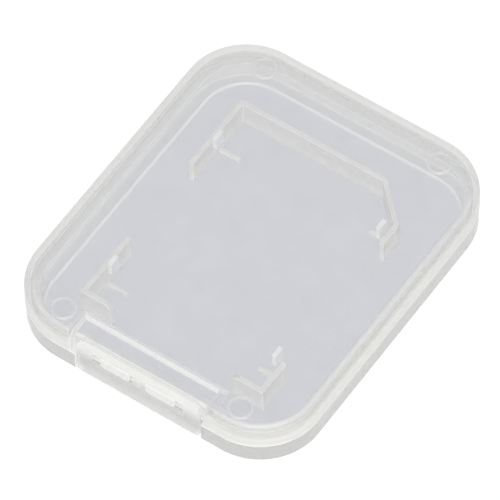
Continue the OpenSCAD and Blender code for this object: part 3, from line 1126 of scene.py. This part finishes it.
paper = bpy.data.materials.new("white paper")
paper.use_nodes = True
tree = paper.node_tree
tree.nodes.remove(tree.nodes["Principled BSDF"])
rays = tree.nodes.new("ShaderNodeLightPath").outputs
seen = reckon(tree, "MAXIMUM", rays["Is Glossy Ray"], rays["Is Transmission Ray"])
seen = reckon(tree, "MAXIMUM", seen, rays["Is Camera Ray"])
dull = tree.nodes.new("ShaderNodeBsdfDiffuse")
feed(tree, dull.inputs["Color"], FLOOR_GREY)
glow = tree.nodes.new("ShaderNodeEmission")
feed(tree, glow.inputs["Strength"], reckon(tree, "MULTIPLY", seen, FLOOR_GLOW))
both = tree.nodes.new("ShaderNodeAddShader")
feed(tree, both.inputs[0], dull.outputs[0])
feed(tree, both.inputs[1], glow.outputs[0])
feed(tree, tree.nodes["Material Output"].inputs["Surface"], both.outputs[0])
floor.data.materials.append(paper)
print("floor glows by", FLOOR_GLOW, "where it is seen")

# %% [markdown]
# ## The sky
# A white sky gives even light from all round. It lights the case a little less than it
# shows itself, because the softbox adds its share. A view ray crosses up to some thirty
# skins of plastic, and Cycles would stop after eight and show black, so its limit is
# raised here.

# %% Sky
SKY_LIGHT, SKY_SEEN = 0.7, 1.0
SKINS_CROSSED = 32
scene = bpy.context.scene
scene.world = bpy.data.worlds.new("studio")
scene.world.use_nodes = True
tree = scene.world.node_tree
rays = tree.nodes.new("ShaderNodeLightPath").outputs
seen = reckon(tree, "MAXIMUM", rays["Is Camera Ray"], rays["Is Transmission Ray"])
sky = tree.nodes["Background"]
feed(tree, sky.inputs["Color"], (1, 1, 1))
feed(tree, sky.inputs["Strength"], ramp(tree, seen, 0, 1, SKY_LIGHT, SKY_SEEN))
scene.view_settings.view_transform = "Standard"
scene.cycles.transparent_max_bounces = SKINS_CROSSED
print("sky lights with", SKY_LIGHT, "and shows as", SKY_SEEN)

# %% [markdown]
# ## The softbox
# One large softbox from the front right models the edges. A small lamp would do that too,
# but its mirror image on the lid would be a white spot when the case is seen from behind.

# %% Softbox
SOFTBOX_PLACE, SOFTBOX_SIZE, SOFTBOX_POWER = Vector((0.72, -1.0, 0.84)), 1.6, 17.7
lamp = bpy.data.lights.new("softbox", "AREA")
lamp.size, lamp.energy = SOFTBOX_SIZE, SOFTBOX_POWER
softbox = bpy.data.objects.new("softbox", lamp)
softbox.location = SOFTBOX_PLACE
softbox.rotation_mode = "QUATERNION"
softbox.rotation_quaternion = (-SOFTBOX_PLACE).to_track_quat("-Z", "Y")
scene.collection.objects.link(softbox)
print("softbox", round(SOFTBOX_PLACE.length, 2), "m away")

# %% [markdown]
# ## The camera
# The camera stands where the photograph was taken from: to the right of the hinge side and
# well above, with a long lens, because the case's opposite edges look nearly parallel. The
# direction comes from two angles and a slight roll, and the aim moves the camera sideways,
# so that no lens shift is needed.

# %% Camera
AZIMUTH, ELEVATION, ROLL = (math.radians(angle) for angle in (35.42, 55.22, -1.32))
DISTANCE, LENS = 0.7988, 485.6
AIM_RIGHT, AIM_UP = -0.000426, 0.001623
CLIP_NEAR, CLIP_FAR = 0.01, 20
ahead = Vector((
    -math.sin(AZIMUTH) * math.cos(ELEVATION),
    math.cos(AZIMUTH) * math.cos(ELEVATION),
    -math.sin(ELEVATION),
))
level_right = Vector((math.cos(AZIMUTH), math.sin(AZIMUTH), 0))
level_up = level_right.cross(ahead)
right = level_right * math.cos(ROLL) + level_up * math.sin(ROLL)
up = level_up * math.cos(ROLL) - level_right * math.sin(ROLL)
turn = Matrix((right, up, -ahead)).transposed().to_4x4()
stand = -ahead * DISTANCE + right * AIM_RIGHT + up * AIM_UP

camera = bpy.data.objects.new("camera", bpy.data.cameras.new("camera"))
camera.data.lens = LENS
camera.data.clip_start, camera.data.clip_end = CLIP_NEAR, CLIP_FAR
camera.matrix_world = Matrix.Translation(stand) @ turn
scene.collection.objects.link(camera)
scene.camera = camera
print("camera at", tuple(round(c, 4) for c in stand))
